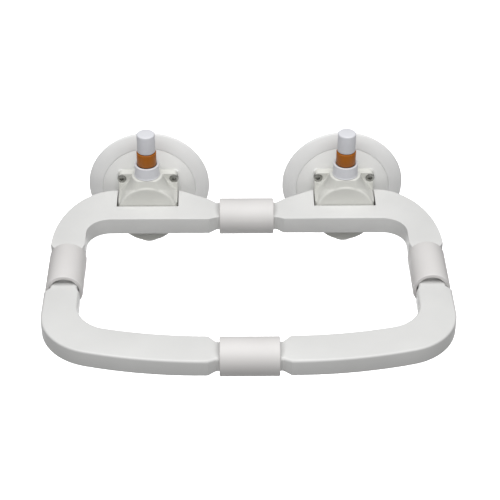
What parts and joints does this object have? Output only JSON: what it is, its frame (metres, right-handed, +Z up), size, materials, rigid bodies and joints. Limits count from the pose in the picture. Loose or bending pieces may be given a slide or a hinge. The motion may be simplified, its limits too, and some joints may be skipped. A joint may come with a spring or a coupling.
{
  "type": "suction grab bar",
  "caption": "Level ring-shaped grab bar of flat bar lengths joined by round sleeves, held to a wall by vacuum cups with upright hand pumps and orange vacuum indicator bands.",
  "frame": {"origin": "on the wall plane, midway between the two vacuum cups, level with the middle of the bar", "axes": "+X along the wall, +Y into the wall, +Z up along the pumps"},
  "size_m": [0.371, 0.2853, 0.139],
  "materials": {
    "white_plastic": "smooth moulded, satin",
    "sleeve_plastic": "smooth extruded, slightly warmer white",
    "pad_rubber": "smooth pale grey elastomer",
    "orange_plastic": "smooth moulded",
    "steel": "zinc plated",
    "grey_nylon": "moulded nylon",
    "black_rubber": "moulded rubber"
  },
  "bodies": {
    "ring": {"rear_corner_left": "white_plastic", "front_corner_left": "white_plastic", "rear_corner_right": "white_plastic", "front_corner_right": "white_plastic", "sleeve_rear": "sleeve_plastic", "sleeve_screw_rear_a": "steel", "sleeve_screw_rear_b": "steel", "sleeve_front": "sleeve_plastic", "sleeve_screw_front_a": "steel", "sleeve_screw_front_b": "steel", "sleeve_left": "sleeve_plastic", "sleeve_screw_left_a": "steel", "sleeve_screw_left_b": "steel", "sleeve_right": "sleeve_plastic", "sleeve_screw_right_a": "steel", "sleeve_screw_right_b": "steel"},
    "cup_left": {"suction_pad_left": "pad_rubber", "pad_backing_plate_left": "white_plastic", "hub_housing_left": "white_plastic", "check_valve_left": "black_rubber", "pump_barrel_left": "grey_nylon", "pump_collar_left": "white_plastic", "barrel_end_cap_left": "white_plastic", "return_spring_left": "steel", "hub_screw_left_upper_inner": "steel", "hub_screw_left_upper_outer": "steel", "hub_screw_left_lower_inner": "steel", "hub_screw_left_lower_outer": "steel"},
    "plunger_left": {"plunger_rod_left": "grey_nylon", "piston_seal_left": "black_rubber", "indicator_band_left": "orange_plastic", "plunger_cap_left": "white_plastic"},
    "cup_right": {"suction_pad_right": "pad_rubber", "pad_backing_plate_right": "white_plastic", "hub_housing_right": "white_plastic", "check_valve_right": "black_rubber", "pump_barrel_right": "grey_nylon", "pump_collar_right": "white_plastic", "barrel_end_cap_right": "white_plastic", "return_spring_right": "steel", "hub_screw_right_upper_inner": "steel", "hub_screw_right_upper_outer": "steel", "hub_screw_right_lower_inner": "steel", "hub_screw_right_lower_outer": "steel"},
    "plunger_right": {"plunger_rod_right": "grey_nylon", "piston_seal_right": "black_rubber", "indicator_band_right": "orange_plastic", "plunger_cap_right": "white_plastic"}
  },
  "joints": [
    {"name": "cup_swivel_left", "type": "hinge", "parent": "ring", "child": "cup_left", "pos_m": [-0.0965, -0.0334, 0], "axis": [0, 0, 1], "range_deg": [-1.5, 1.5]},
    {"name": "plunger_press_left", "type": "slide", "parent": "cup_left", "child": "plunger_left", "axis": [0, 0, -1], "range_m": [0, 0.03], "stiffness_N_per_m": 400, "springref_m": -0.02, "deforming": ["return_spring_left"]},
    {"name": "cup_swivel_right", "type": "hinge", "parent": "ring", "child": "cup_right", "pos_m": [0.0965, -0.0334, 0], "axis": [0, 0, 1], "range_deg": [-1.5, 1.5]},
    {"name": "plunger_press_right", "type": "slide", "parent": "cup_right", "child": "plunger_right", "axis": [0, 0, -1], "range_m": [0, 0.03], "stiffness_N_per_m": 400, "springref_m": -0.02, "deforming": ["return_spring_right"]}
  ]
}
